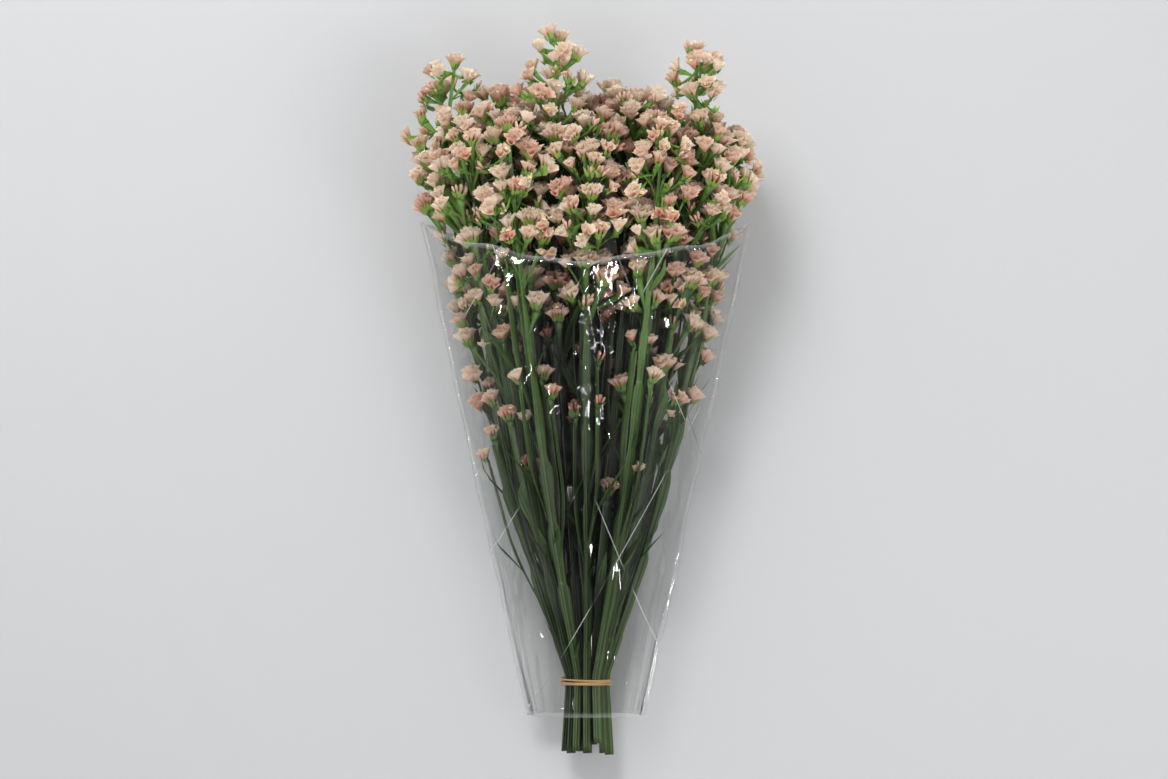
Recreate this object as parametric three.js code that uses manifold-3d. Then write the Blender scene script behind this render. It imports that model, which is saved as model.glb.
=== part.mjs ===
// A bunch of cut statice (Limonium sinuatum): nineteen winged stems, banded near their cut ends,
// each opening into a branched head of peach, papery spikes, in a clear film sleeve.
// It lies on its side. Millimetres, +Z up, the stems run along +Y, and the surface is Z = 0.
import * as THREE from "three";
import { mergeVertices } from "three/addons/utils/BufferGeometryUtils.js";
import Module from "manifold-3d";

// Driving dimensions along the bunch, measured from the cut ends.
const BAND_Y = 60;
const BOUND = 6;
const FORK_Y = 286;
const LIP_FRONT_Y = 436;
const MOUTH_Y = 475;
const CROWN_Y = 600;
const CUT_RAGGED = 7;

// How the stems are packed: rows of a hexagonal bundle at the band, fanned out at the mouth.
const ROWS = [3, 4, 5, 4, 3];
const ROW_STEP = Math.sqrt(3) / 2;
const BAND_PITCH = 8.2;
const FOOT_SPLAY = 0.22;
const MOUTH_PITCH_X = 61;
const MOUTH_PITCH_Z = 37;
const BAND_AXIS_Z = 25.2;
const MOUTH_AXIS_Z = 83;
const FAN_BOW = 0.34;
const STRAY = 0.13;

// A stem: three wings round a thin core, narrower in the head.
const WING_REACH = 5.6;
const CORE_REACH = 2.0;
const HEAD_FOOT_REACH = 3.9;
const HEAD_TIP_REACH = 1.5;
const JOINT_GAP = 0.3;

// A spike: a one-sided comb of papery cups at the end of a winged branch.
const CUP_REACH = 16;
const CUP_STEP = 0.5;
const CUP_HALF = 5.6;
const CUP_DEPTH = 4.5;
const CUP_CLEAR = 0.3;
const WAIST_DROP = 2.4;
const BRANCH_WIDE = 2.4;
const BRANCH_THIN = 1.1;
const ROOT_WIDE = 1.1;
const ROOT_THIN = 0.8;
const ROOT_SINK = 0.9;
const SPIKE_PITCH = 26;
const LAYER_STEP = 18;
const SHELL_DEPTH = 40;
const CROWN_SHARE = 0.62;
const ROOT_APART = 4.5;
const FLOOR_GAP = 0.5;
const FILM_CLEAR = 2.7;
const SIMPLER = 0.05;

// The film sleeve: a tapered tube, flattened where it lies on the surface.
const FILM = 0.6;
const SLEEVE_FOOT_Y = 30;
const SLEEVE_FOOT_HALF = 50;
const SLEEVE_MOUTH_HALF = 146;
const SLEEVE_FOOT_RISE = 37;
const SLEEVE_MOUTH_RISE = 91;
const SLEEVE_FLAT = 0.1;
const SLEEVE_SIDES = 24;
const SLEEVE_RINGS = 7;

// The rubber band, wound three times.
const BAND_WIDE = 7;
const BAND_THICK = 1.5;
const BAND_CLEAR = 0.45;
const BAND_SIDES = 24;

const PEACH = 0xe8b79b;
const LEAF_GREEN = 0x4c6b3c;
const CLEAR_FILM = 0xdfe6e8;
const RUBBER_TAN = 0xb98f5a;

const wasm = await Module();
wasm.setup();

// One fixed series of draws, so that every build is the same.
let drawState = 20417;
function draw() {
  drawState = (drawState * 48271) % 2147483647;
  return drawState / 2147483647;
}
const between = (low, high) => low + (high - low) * draw();
const mix = (a, b, t) => a + (b - a) * t;
const clamp = (v, low, high) => Math.min(Math.max(v, low), high);
const point = (x, y, z) => new THREE.Vector3(x, y, z);

// How far the bunch has opened at a distance along it: 0 at the band, 1 at the sleeve's mouth.
function opened(y) {
  const t = Math.max((y - BAND_Y - BOUND) / (MOUTH_Y - BAND_Y - BOUND), 0);
  return t * (1 + FAN_BOW * (1 - t));
}
const splay = (y) => 1 + FOOT_SPLAY * Math.max((BAND_Y - BOUND - y) / BAND_Y, 0);
const pitchX = (y) => mix(BAND_PITCH * splay(y), MOUTH_PITCH_X, opened(y));
const pitchZ = (y) => mix(BAND_PITCH * splay(y), MOUTH_PITCH_Z, opened(y));
const axisZ = (y) => mix(BAND_AXIS_Z, MOUTH_AXIS_Z, opened(y));

// The sleeve's outer half width and half rise, and the height of its section's centre.
const along = (y) => (y - SLEEVE_FOOT_Y) / (MOUTH_Y - SLEEVE_FOOT_Y);
const sleeveHalf = (y) => mix(SLEEVE_FOOT_HALF, SLEEVE_MOUTH_HALF, along(y));
const sleeveRise = (y) => mix(SLEEVE_FOOT_RISE, SLEEVE_MOUTH_RISE, along(y));
const sleeveZ = (y) => sleeveRise(y) * (1 - SLEEVE_FLAT);
// The mouth's edge dips over the front of the bunch, which faces up.
const lipY = (upness) => mix(MOUTH_Y, LIP_FRONT_Y, Math.max(upness, 0) ** 1.5);

// Stems that stand above the rest end in a tall sprig: where each one's tip is, by row and place.
const SPRIGS = {
  "2,0": { tip: point(-119, 614, 96), from: 515 },
  "3,1": { tip: point(-24, 629, 128), from: 530 },
  "3,3": { tip: point(98, 618, 132), from: 530 },
};

// The height that the canopy reaches over a place in its section.
function crownY(x, z) {
  const u = x / 146;
  const v = (z - MOUTH_AXIS_Z) / 88;
  return CROWN_Y - 46 * u ** 4 - 40 * v * v + 9 * Math.sin(x / 19);
}

// The stems, each with its place in the bundle, its own stray and its lengths.
const stems = [];
ROWS.forEach((count, row) => {
  for (let place = 0; place < count; place++) {
    const across = place - (count - 1) / 2;
    const up = (row - 2) * ROW_STEP;
    const strayX = between(-STRAY, STRAY);
    const strayZ = between(-STRAY, STRAY);
    const foot = between(-CUT_RAGGED, CUT_RAGGED);
    const sprig = SPRIGS[`${row},${place}`];
    const stem = { across, up, strayX, strayZ, foot, sprig };
    stem.top = sprig ? sprig.tip.y : crownY(across * MOUTH_PITCH_X, axisZ(MOUTH_Y) + up * MOUTH_PITCH_Z) - 30;
    stems.push(stem);
  }
});

// A stem's centre at a distance along the bunch.
function stemAt(stem, y) {
  const open = Math.min(opened(y), 1.2);
  const p = point(
    (stem.across + stem.strayX * open) * pitchX(y),
    y,
    axisZ(y) + (stem.up + stem.strayZ * open) * pitchZ(y),
  );
  if (stem.sprig && y > stem.sprig.from) {
    const t = (y - stem.sprig.from) / (stem.sprig.tip.y - stem.sprig.from);
    const ease = t * t * (3 - 2 * t);
    p.x = mix(p.x, stem.sprig.tip.x, ease);
    p.z = mix(p.z, stem.sprig.tip.z, ease);
  }
  return p;
}

// Both parts of a stem are drawn in straight lengths, between these distances.
const stalkLevels = (stem) => [stem.foot, BAND_Y - BOUND, BAND_Y + BOUND, 125, 200, FORK_Y - JOINT_GAP];
function headLevels(stem) {
  const steps = stem.sprig ? SPRIG_STEPS : HEAD_STEPS;
  return Array.from({ length: steps + 1 }, (_, i) => mix(FORK_Y, stem.top, i / steps));
}
const HEAD_STEPS = 4;
const SPRIG_STEPS = 9;
// The centre of a head's axis as it is drawn.
function axisAt(stem, y) {
  const levels = headLevels(stem);
  const next = clamp(levels.filter((level) => level <= y).length, 1, levels.length - 1);
  const [low, high] = [levels[next - 1], levels[next]];
  return stemAt(stem, low).lerp(stemAt(stem, high), (y - low) / (high - low));
}

// Everything placed so far, as balls in a grid of cells, for keeping pieces clear of each other.
const CELL = 16;
const cells = new Map();
const cellKey = (x, y, z) => `${x},${y},${z}`;
const cellOf = (v) => Math.floor(v / CELL);
function keep(ball) {
  const key = cellKey(cellOf(ball.at.x), cellOf(ball.at.y), cellOf(ball.at.z));
  if (!cells.has(key)) cells.set(key, []);
  cells.get(key).push(ball);
}
// Whether a ball would touch one of another stem's, or a cup would touch one of its own stem's.
function touches(ball) {
  const [cx, cy, cz] = [cellOf(ball.at.x), cellOf(ball.at.y), cellOf(ball.at.z)];
  for (let x = cx - 1; x <= cx + 1; x++)
    for (let y = cy - 1; y <= cy + 1; y++)
      for (let z = cz - 1; z <= cz + 1; z++)
        for (const other of cells.get(cellKey(x, y, z)) ?? []) {
          if (other.stem === ball.stem && !ball.cup && !other.cup) continue;
          if (other.at.distanceTo(ball.at) < other.radius + ball.radius) return true;
        }
  return false;
}
// Whether a ball would reach through the film or into the surface below.
function escapes(ball) {
  const { at, radius } = ball;
  if (at.z - radius < FLOOR_GAP) return true;
  const upness = (at.z - sleeveZ(at.y)) / sleeveRise(at.y);
  if (at.y - radius > lipY(upness) + 4) return false;
  const u = at.x / (sleeveHalf(at.y) - radius - FILM_CLEAR);
  const v = (at.z - sleeveZ(at.y)) / (sleeveRise(at.y) - radius - FILM_CLEAR);
  return u * u + v * v > 1 || at.z - radius < FILM + FILM_CLEAR;
}

// A spike's own directions: out along its branch, and across along its comb.
function cupDirection(spike, angle, lean) {
  return spike.out
    .clone()
    .multiplyScalar(Math.cos(angle))
    .addScaledVector(spike.comb, Math.sin(angle))
    .addScaledVector(spike.side, lean);
}
const cupAngle = (spike, j) => (j - (spike.cups - 1) / 2) * CUP_STEP;
const cupCentre = (spike, j) =>
  spike.tip.clone().addScaledVector(cupDirection(spike, cupAngle(spike, j), 0), (CUP_REACH - 3) * spike.size);

function ballsOf(spike) {
  const balls = [];
  for (let j = 0; j < spike.cups; j++)
    balls.push({ at: cupCentre(spike, j), radius: (CUP_HALF + CUP_CLEAR) * spike.size, stem: spike.stem, cup: true });
  const base = spike.tip.clone().addScaledVector(spike.out, 6 * spike.size);
  balls.push({ at: base, radius: 5.4 * spike.size, stem: spike.stem, cup: false });
  const length = spike.tip.distanceTo(spike.root);
  const steps = Math.ceil(length / 5);
  for (let i = 0; i < steps; i++) {
    const at = spike.root.clone().lerp(spike.tip, (i + 0.5) / steps);
    balls.push({ at, radius: BRANCH_WIDE + 0.5, stem: spike.stem, cup: false });
  }
  return balls;
}

// Gives a spike its comb direction, turned until it is clear of everything, and keeps it.
const TURNS = 8;
function settle(spike) {
  const level = Math.abs(spike.out.z) < 0.9 ? point(0, 0, 1) : point(1, 0, 0);
  const first = level.cross(spike.out).normalize();
  for (let turn = 0; turn < TURNS; turn++) {
    spike.comb = first.clone().applyAxisAngle(spike.out, spike.start + (turn * Math.PI) / TURNS);
    spike.side = spike.out.clone().cross(spike.comb);
    const balls = ballsOf(spike);
    if (!balls.some((ball) => escapes(ball) || touches(ball))) {
      balls.forEach(keep);
      stems[spike.stem].spikes.push(spike);
      return true;
    }
  }
  return false;
}

// The stems themselves come first: no spike may cross another stem.
stems.forEach((stem, index) => {
  stem.spikes = [];
  for (let y = 200; y < stem.top; y += 5) {
    const radius = y < FORK_Y ? WING_REACH + 0.4 : HEAD_FOOT_REACH;
    keep({ at: stemAt(stem, y), radius, stem: index, cup: false });
  }
});

// Sprig spikes stand on short branches, by turns left and right of the tall tips.
const SPRIG_STEP = 12.5;
stems.forEach((stem, index) => {
  const end = stemAt(stem, stem.top);
  const rise = end.clone().sub(axisAt(stem, stem.top - 12)).normalize();
  const top = { start: between(0, Math.PI), cups: 3, size: 0.85 };
  settle({ stem: index, root: axisAt(stem, stem.top - 4), tip: end, out: rise, ...top });
  if (!stem.sprig) return;
  let side = 1;
  for (let y = stem.top - 16; y > stem.sprig.from + 8; y -= SPRIG_STEP) {
    const root = axisAt(stem, y - 12);
    const reach = between(11, 17) + (stem.top - y) * 0.08;
    const twist = between(-0.5, 0.5);
    const tip = axisAt(stem, y).add(point(side * reach, between(2, 8), reach * twist));
    const out = tip.clone().sub(root).normalize().lerp(rise, 0.35).normalize();
    const drawn = { start: between(0, Math.PI), cups: draw() < 0.5 ? 2 : 3, size: between(0.72, 0.86) };
    settle({ stem: index, root, tip, out, ...drawn });
    side = -side;
  }
});

// The canopy: spikes at the points of a staggered lattice, from the outside of the head inwards.
function canopyPlaces() {
  const places = [];
  const layers = Math.ceil((CROWN_Y - FORK_Y) / LAYER_STEP);
  for (let layer = 0; layer <= layers; layer++)
    for (let row = -4; row <= 4; row++)
      for (let place = -7; place <= 7; place++) {
        const shift = (layer % 2 ? 0.5 : 0) + (row % 2 ? 0.5 : 0);
        const x = (place + shift) * SPIKE_PITCH + between(-5, 5);
        const z = MOUTH_AXIS_Z + (row + (layer % 2 ? 0.5 : 0)) * SPIKE_PITCH * ROW_STEP + between(-4, 4);
        const y = FORK_Y + 30 + layer * LAYER_STEP + between(-6, 6);
        const keepChance = draw();
        const u = x / (pitchX(y) * 2 + 24);
        const v = (z - axisZ(y)) / (pitchZ(y) * 2 * ROW_STEP + 25);
        const ring = Math.hypot(u, v);
        const below = crownY(x, z) - y;
        if (ring > 1 || below < 8) continue;
        const depth = Math.min(below * CROWN_SHARE, (1 - ring) * 95);
        const low = y < LIP_FRONT_Y - 20;
        const share = low ? 0.32 : v > 0 || ring < 0.6 ? 1 : 0.5;
        if (depth > SHELL_DEPTH || keepChance > share || (low && ring < 0.5)) continue;
        places.push({ at: point(x, y, z), depth, outward: point(u / 1.3, 0, v), ring });
      }
  return places.sort((a, b) => a.depth - b.depth);
}

for (const { at, depth, outward, ring } of canopyPlaces()) {
  let owner = -1;
  let nearest = Infinity;
  stems.forEach((stem, index) => {
    const level = Math.min(at.y, stem.top - 6);
    const centre = axisAt(stem, level);
    const gap = Math.hypot(centre.x - at.x, centre.z - at.z);
    if (gap < nearest) [owner, nearest] = [index, gap];
  });
  const stem = stems[owner];
  const start = between(0, Math.PI);
  const size = between(0.86, 1.14);
  const pick = draw();
  const cups = pick < 0.2 ? 2 : pick < 0.72 ? 3 : 4;
  const flare = clamp(1 - depth / 70, 0, 1) * ring;
  for (let attempt = 0; attempt < 6; attempt++) {
    const centre = axisAt(stem, Math.min(at.y, stem.top - 6));
    const tip = at.clone();
    tip.x = mix(at.x, centre.x, attempt * 0.1);
    tip.z = mix(at.z, centre.z, attempt * 0.1);
    const reach = Math.hypot(centre.x - tip.x, centre.z - tip.z);
    const rootY = clamp(tip.y - 16 - reach * 1.25 - attempt * ROOT_APART, FORK_Y + 8, stem.top - 8);
    if (stem.spikes.some((other) => Math.abs(other.root.y - rootY) < ROOT_APART)) continue;
    const root = axisAt(stem, rootY);
    const out = tip.clone().sub(root).normalize().addScaledVector(outward, flare * 0.9).add(point(0, 0.25, 0));
    if (tip.z < 34) out.z = Math.max(out.z, -0.12);
    out.normalize();
    tip.addScaledVector(out, -CUP_REACH * size * 0.6);
    if (tip.y > root.y + 4 && settle({ stem: owner, root, tip, out, start, cups, size })) break;
  }
}

// Triangles between two rings of points, the upper ring having as many points or more.
function skirt(faces, lower, upper) {
  const foot = (k) => Math.round((k * lower.length) / upper.length);
  upper.forEach((_, k) => {
    const next = (k + 1) % upper.length;
    const [a, b] = [lower[foot(k) % lower.length], lower[foot(k + 1) % lower.length]];
    faces.push(upper[k], a, upper[next]);
    if (a !== b) faces.push(upper[next], a, b);
  });
}

// A closed geometry from points and triangles.
function closed(points, faces) {
  const geometry = new THREE.BufferGeometry().setFromPoints(points);
  geometry.setIndex(faces);
  return geometry;
}

// One spike with its branch: a lozenge stalk that widens into a comb of cups with a scalloped rim.
function spikeGeometry(spike) {
  const points = [];
  const add = (p) => points.push(p) - 1;
  const wedge = (centre, wide, thin) =>
    [
      [-wide, -thin * 0.6],
      [wide, -thin * 0.6],
      [0, thin * 1.2],
    ].map(([a, b]) => add(centre.clone().addScaledVector(spike.comb, a).addScaledVector(spike.side, b)));
  const away = spike.tip.clone().sub(spike.root).setY(0).setLength(ROOT_SINK);
  const root = wedge(spike.root.clone().add(away), ROOT_WIDE, ROOT_THIN);
  const neck = wedge(spike.tip, BRANCH_WIDE * 1.35 * spike.size, BRANCH_THIN * 1.5);

  const at = (angle, reach, lean) =>
    add(spike.tip.clone().addScaledVector(cupDirection(spike, angle, lean), reach * spike.size));
  const last = spike.cups - 1;
  const lean = CUP_HALF / CUP_REACH;
  const front = [];
  const back = [];
  for (let j = 0; j <= last; j++) {
    const angle = cupAngle(spike, j);
    front.push(at(angle, CUP_REACH + (j % 2), -lean));
    back.push(at(angle, CUP_REACH + 1 - (j % 2), lean));
    if (j === last) continue;
    front.push(at(angle + CUP_STEP / 2, CUP_REACH - WAIST_DROP, -lean * 0.5));
    back.push(at(angle + CUP_STEP / 2, CUP_REACH - WAIST_DROP, lean * 0.5));
  }
  const end = CUP_STEP * 0.62;
  const left = at(cupAngle(spike, 0) - end, CUP_REACH, 0);
  const right = at(cupAngle(spike, last) + end, CUP_REACH, 0);
  const rim = [left, ...front, right, ...[...back].reverse()];

  const faces = [];
  faces.push(root[0], root[2], root[1]);
  skirt(faces, root, neck);
  skirt(faces, neck, rim);
  for (let j = 0; j <= last; j++) {
    const low = at(cupAngle(spike, j), CUP_REACH - CUP_DEPTH, 0);
    const loop = [];
    if (j === 0) loop.push(left);
    else loop.push(back[2 * j - 1], front[2 * j - 1]);
    loop.push(front[2 * j]);
    if (j === last) loop.push(right);
    else loop.push(front[2 * j + 1], back[2 * j + 1]);
    loop.push(back[2 * j]);
    loop.forEach((p, k) => faces.push(low, p, loop[(k + 1) % loop.length]));
  }
  return closed(points, faces);
}

// A length of stem: a cylinder whose rings are set at the stem's levels and pinched into wings.
function limbGeometry(stem, levels, sides, wings) {
  const steps = levels.length - 1;
  const geometry = new THREE.CylinderGeometry(1, 1, 1, sides, steps);
  const position = geometry.getAttribute("position");
  for (let i = 0; i < position.count; i++) {
    const t = position.getY(i) + 0.5;
    const angle = Math.atan2(position.getX(i), position.getZ(i));
    const onAxis = Math.hypot(position.getX(i), position.getZ(i)) < 0.5;
    const corner = Math.round((angle / Math.PI) * 3);
    const reach = onAxis ? 0 : wings(t)[sides === 6 ? Math.abs(corner) % 2 : 0];
    const centre = stemAt(stem, levels[Math.round(t * steps)]);
    position.setXYZ(
      i,
      centre.x + reach * Math.cos(angle),
      centre.y,
      centre.z - reach * Math.sin(angle),
    );
  }
  return geometry;
}

// A three.js geometry as a solid, with its shared vertices merged.
function solid(geometry) {
  const bare = geometry.clone();
  bare.deleteAttribute("normal");
  bare.deleteAttribute("uv");
  const merged = mergeVertices(bare, 1e-4);
  const vertProperties = new Float32Array(merged.getAttribute("position").array);
  const triVerts = new Uint32Array(merged.index.array);
  return new wasm.Manifold(new wasm.Mesh({ numProp: 3, vertProperties, triVerts }));
}

function joined(geometries) {
  let whole = solid(geometries[0]);
  for (const geometry of geometries.slice(1)) whole = whole.add(solid(geometry));
  return whole.simplify(SIMPLER);
}

function geometryOf(body) {
  const mesh = body.getMesh();
  const geometry = new THREE.BufferGeometry();
  geometry.setAttribute("position", new THREE.BufferAttribute(mesh.vertProperties, 3));
  geometry.setIndex(new THREE.BufferAttribute(mesh.triVerts, 1));
  geometry.computeVertexNormals();
  return geometry;
}

// The sleeve's outline at one ring, taken in by the film's thickness for its inner face.
function sleevePoint(t, angle, inset) {
  const edge = lipY(Math.sin(angle));
  const y = mix(SLEEVE_FOOT_Y, edge, t);
  const x = (sleeveHalf(y) - inset) * Math.cos(angle);
  const z = Math.max(sleeveZ(y) + (sleeveRise(y) - inset) * Math.sin(angle), inset);
  return point(x, y, z);
}

// A lathe turned once round, out along the film and back inside it, then drawn to the sleeve's form.
function sleeveGeometry() {
  const profile = [];
  for (let i = 0; i <= SLEEVE_RINGS; i++) profile.push(new THREE.Vector2(2, i / SLEEVE_RINGS));
  for (let i = SLEEVE_RINGS; i >= 0; i--) profile.push(new THREE.Vector2(1, i / SLEEVE_RINGS));
  profile.push(profile[0].clone());
  const geometry = new THREE.LatheGeometry(profile, SLEEVE_SIDES);
  const position = geometry.getAttribute("position");
  for (let i = 0; i < position.count; i++) {
    const angle = Math.atan2(position.getZ(i), position.getX(i));
    const inset = Math.hypot(position.getX(i), position.getZ(i)) > 1.5 ? 0 : FILM;
    const p = sleevePoint(position.getY(i), angle, inset);
    position.setXYZ(i, p.x, p.y, p.z);
  }
  return geometry;
}

function bandGeometry() {
  const low = BAND_PITCH * 2 + WING_REACH + BAND_CLEAR;
  const profile = [
    [low, -BAND_WIDE / 2],
    [low + BAND_THICK, -BAND_WIDE / 2],
    [low + BAND_THICK, BAND_WIDE / 2],
    [low, BAND_WIDE / 2],
    [low, -BAND_WIDE / 2],
  ].map(([r, h]) => new THREE.Vector2(r, h));
  return new THREE.LatheGeometry(profile, BAND_SIDES).translate(0, BAND_Y, BAND_AXIS_Z);
}

const plain = (color, roughness, opacity = 1) =>
  new THREE.MeshStandardMaterial({ color, roughness, metalness: 0, opacity, transparent: opacity < 1 });
const peach = plain(PEACH, 0.85);
const leafGreen = plain(LEAF_GREEN, 0.6);
const clearFilm = plain(CLEAR_FILM, 0.08, 0.3);
const rubber = plain(RUBBER_TAN, 0.7);

const bunch = new THREE.Group();
function place(name, geometry, material) {
  const mesh = new THREE.Mesh(geometry, material);
  mesh.name = name;
  bunch.add(mesh);
}

stems.forEach((stem, index) => {
  const label = String(index + 1).padStart(2, "0");
  const stalkWings = (t) => [mix(WING_REACH, WING_REACH - 0.4, t), CORE_REACH];
  place(`stalk_${label}`, limbGeometry(stem, stalkLevels(stem), 6, stalkWings), leafGreen);
  const headWings = (t) => [mix(HEAD_FOOT_REACH, HEAD_TIP_REACH, Math.sqrt(t))];
  const axis = limbGeometry(stem, headLevels(stem), 3, headWings);
  place(`head_${label}`, geometryOf(joined([axis, ...stem.spikes.map(spikeGeometry)])), peach);
});
place("sleeve", sleeveGeometry(), clearFilm);
place("band", bandGeometry(), rubber);

// The origin goes to the middle of the whole bunch, on the surface it lies on.
const whole = new THREE.Box3().setFromObject(bunch);
const middle = whole.getCenter(new THREE.Vector3());
bunch.children.forEach((mesh) => mesh.position.set(-middle.x, -middle.y, -whole.min.z));

export default bunch;
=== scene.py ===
"""The looks of a lying, sleeved bunch of cut statice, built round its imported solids."""

import math

import bmesh
import bpy
import numpy as np
from bpy.props import FloatProperty, FloatVectorProperty, IntProperty
from mathutils import Matrix, Vector, noise


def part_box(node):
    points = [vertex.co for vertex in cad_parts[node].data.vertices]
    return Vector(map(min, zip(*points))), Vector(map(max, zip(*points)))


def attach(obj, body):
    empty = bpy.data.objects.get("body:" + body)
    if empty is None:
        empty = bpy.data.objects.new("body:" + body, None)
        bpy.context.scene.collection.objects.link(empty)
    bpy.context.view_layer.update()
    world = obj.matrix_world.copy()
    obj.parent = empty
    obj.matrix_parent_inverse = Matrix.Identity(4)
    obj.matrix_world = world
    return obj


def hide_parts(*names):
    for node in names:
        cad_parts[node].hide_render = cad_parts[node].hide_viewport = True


bl_info = {
    "name": "Statice bunch",
    "version": (1, 0, 0),
    "blender": (4, 5, 0),
    "location": "3D View > Sidebar > Statice",
    "description": "Dresses a lying, sleeved bunch of cut statice round its packed solids",
    "category": "Add Mesh",
}

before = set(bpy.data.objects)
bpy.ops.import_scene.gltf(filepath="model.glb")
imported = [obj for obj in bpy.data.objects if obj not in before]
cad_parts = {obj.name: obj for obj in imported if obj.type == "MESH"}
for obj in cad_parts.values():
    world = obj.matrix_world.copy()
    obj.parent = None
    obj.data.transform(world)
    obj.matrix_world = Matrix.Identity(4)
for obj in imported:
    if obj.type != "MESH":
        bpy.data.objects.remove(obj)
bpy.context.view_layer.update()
SLEEVE_LOW, SLEEVE_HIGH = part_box("sleeve")

# The bunch is planned in millimetres, with y measured from the cut ends and z from the surface,
# by the same rule and the same draws as the solids.
MM = 0.001
BAND_Y, BOUND, FORK_Y, LIP_FRONT_Y, MOUTH_Y, CROWN_Y, CUT_RAGGED = 60, 6, 286, 436, 475, 600, 7
ROWS = (3, 4, 5, 4, 3)
ROW_STEP = math.sqrt(3) / 2
BAND_PITCH, FOOT_SPLAY, MOUTH_PITCH_X, MOUTH_PITCH_Z = 8.2, 0.22, 61, 37
BAND_AXIS_Z, MOUTH_AXIS_Z, FAN_BOW, STRAY = 25.2, 83, 0.34, 0.13
WING_REACH, CORE_REACH, HEAD_FOOT_REACH, HEAD_TIP_REACH = 5.6, 2.0, 3.9, 1.5
CROWN_HALF_X, CROWN_HALF_Z, CROWN_FALL_X, CROWN_FALL_Z, CROWN_WAVE, TOP_DROP = 146, 88, 46, 40, 9, 30
CUP_REACH, CUP_STEP, CUP_HALF, CUP_CLEAR, WEDGE_AT, WEDGE_HALF, BALL_REACH = 16, 0.5, 5.6, 0.3, 6, 5.4, 16
BRANCH_WIDE, SPIKE_PITCH, LAYER_STEP, SHELL_DEPTH, CROWN_SHARE, ROOT_APART = 2.4, 26, 18, 40, 0.62, 4.5
HEAD_PROUD_X, HEAD_PROUD_Z, FIRST_LAYER, RING_DEPTH, STALK_FROM, BALL_STEP = 24, 25, 30, 95, 200, 5
FLOOR_GAP, FILM_CLEAR, FILM, LIP_CLEAR = 0.5, 2.7, 0.6, 4
SLEEVE_FOOT_Y, SLEEVE_FOOT_HALF, SLEEVE_MOUTH_HALF = 30, 50, 146
SLEEVE_FOOT_RISE, SLEEVE_MOUTH_RISE, SLEEVE_FLAT = 37, 91, 0.1
TURNS, SPRIG_STEP, HEAD_STEPS, SPRIG_STEPS, BALLS = 8, 12.5, 4, 9, 30000
SPRIGS = {
    (2, 0): {"tip": (-119, 614, 96), "from": 515},
    (3, 1): {"tip": (-24, 629, 128), "from": 530},
    (3, 3): {"tip": (98, 618, 132), "from": 530},
}
# The finer growth that the solids leave out: where shoots leave a stalk, and how many small combs
# stand beside a comb, then beside each of those.
SHOOT_STARTS = (118, 150, 182, 214, 246, 278, 310)
COMPANIONS, SHOWING, COMPANY_Y = (2, 1), 0.6, 390
# How far from a comb's foot its flowers sit, how much they rise, the share of small combs in bud,
# and how deep in the head flowers are rosiest, as painted shade, and have their fewest pleats.
SEAT_REACH, UPRIGHT, YOUNG, SHADE_DEPTH, PLEAT_DEPTH = 7.4, 0.85, 0.25, 95, 60
# How much of its own size a small comb and a shoot's comb keep clear, half the width that a shoot
# keeps clear, and how far from the film the plants stay.
SMALL_SNUG, SHOOT_SNUG, SHOOT_HALF, STEM_CLEAR = 0.66, 0.75, 2.0, 1.8
# Half the width of a welded seam and of its pale line, and, for the band's turns, the step from one
# to the next, how far out they lie, and half their width and thickness.
SEAM_HALF, SEAM_PALE, TURN_STEP, TURN_OUT, TURN_WIDE, TURN_THICK = 1.1, 1.6, 2.2, 0.62, 0.95, 0.55
# Half the floor's width in metres, and the camera's tilt in degrees.
FLOOR_HALF, TILT = 6, 3
# What each point of a plant carries for the materials: its rise from base to rim, how near it is
# to a vein or an edge, one tone for each copy, and how deep it lies in the bunch, which sets its painted
# shade.
LAYERS = ("rise", "vein", "tone", "deep")
# Where that depth, and so the painted shade, starts and how much further in it is whole, in shares
# of the bunch's half width, and how far below the crown it is whole, in millimetres.
RIM_RING, RIM_DEPTH, CROWN_DEPTH = 0.94, 0.36, 62
# What clear film lets through.
CLEAR = (0.99, 0.992, 0.99, 1)


class Draws:
    """One fixed series of draws."""

    def __init__(self, seed):
        self.state = seed

    def one(self):
        self.state = (self.state * 48271) % 2147483647
        return self.state / 2147483647

    def between(self, low, high):
        return low + (high - low) * self.one()


def mix(a, b, t):
    return a + (b - a) * t


def turned(co):
    """The angle at which a point of a template lies round its axis."""
    return math.atan2(co.y, co.x)


def clamp(value, low, high):
    return min(max(value, low), high)


def point(x, y, z):
    return np.array((x, y, z), dtype=float)


def unit(v):
    return v / math.sqrt(v[0] * v[0] + v[1] * v[1] + v[2] * v[2])


def opened(y):
    t = max((y - BAND_Y - BOUND) / (MOUTH_Y - BAND_Y - BOUND), 0)
    return t * (1 + FAN_BOW * (1 - t))


def splay(y):
    return 1 + FOOT_SPLAY * max((BAND_Y - BOUND - y) / BAND_Y, 0)


def pitch_x(y):
    return mix(BAND_PITCH * splay(y), MOUTH_PITCH_X, opened(y))


def pitch_z(y):
    return mix(BAND_PITCH * splay(y), MOUTH_PITCH_Z, opened(y))


def axis_z(y):
    return mix(BAND_AXIS_Z, MOUTH_AXIS_Z, opened(y))


def sleeve_half(y):
    return mix(SLEEVE_FOOT_HALF, SLEEVE_MOUTH_HALF, (y - SLEEVE_FOOT_Y) / (MOUTH_Y - SLEEVE_FOOT_Y))


def sleeve_rise(y):
    return mix(SLEEVE_FOOT_RISE, SLEEVE_MOUTH_RISE, (y - SLEEVE_FOOT_Y) / (MOUTH_Y - SLEEVE_FOOT_Y))


def sleeve_z(y):
    return sleeve_rise(y) * (1 - SLEEVE_FLAT)


def lip_y(upness):
    return mix(MOUTH_Y, LIP_FRONT_Y, max(upness, 0) ** 1.5)


def crown_y(x, z):
    u, v = x / CROWN_HALF_X, (z - MOUTH_AXIS_Z) / CROWN_HALF_Z
    return CROWN_Y - CROWN_FALL_X * u**4 - CROWN_FALL_Z * v * v + CROWN_WAVE * math.sin(x / 19)


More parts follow.
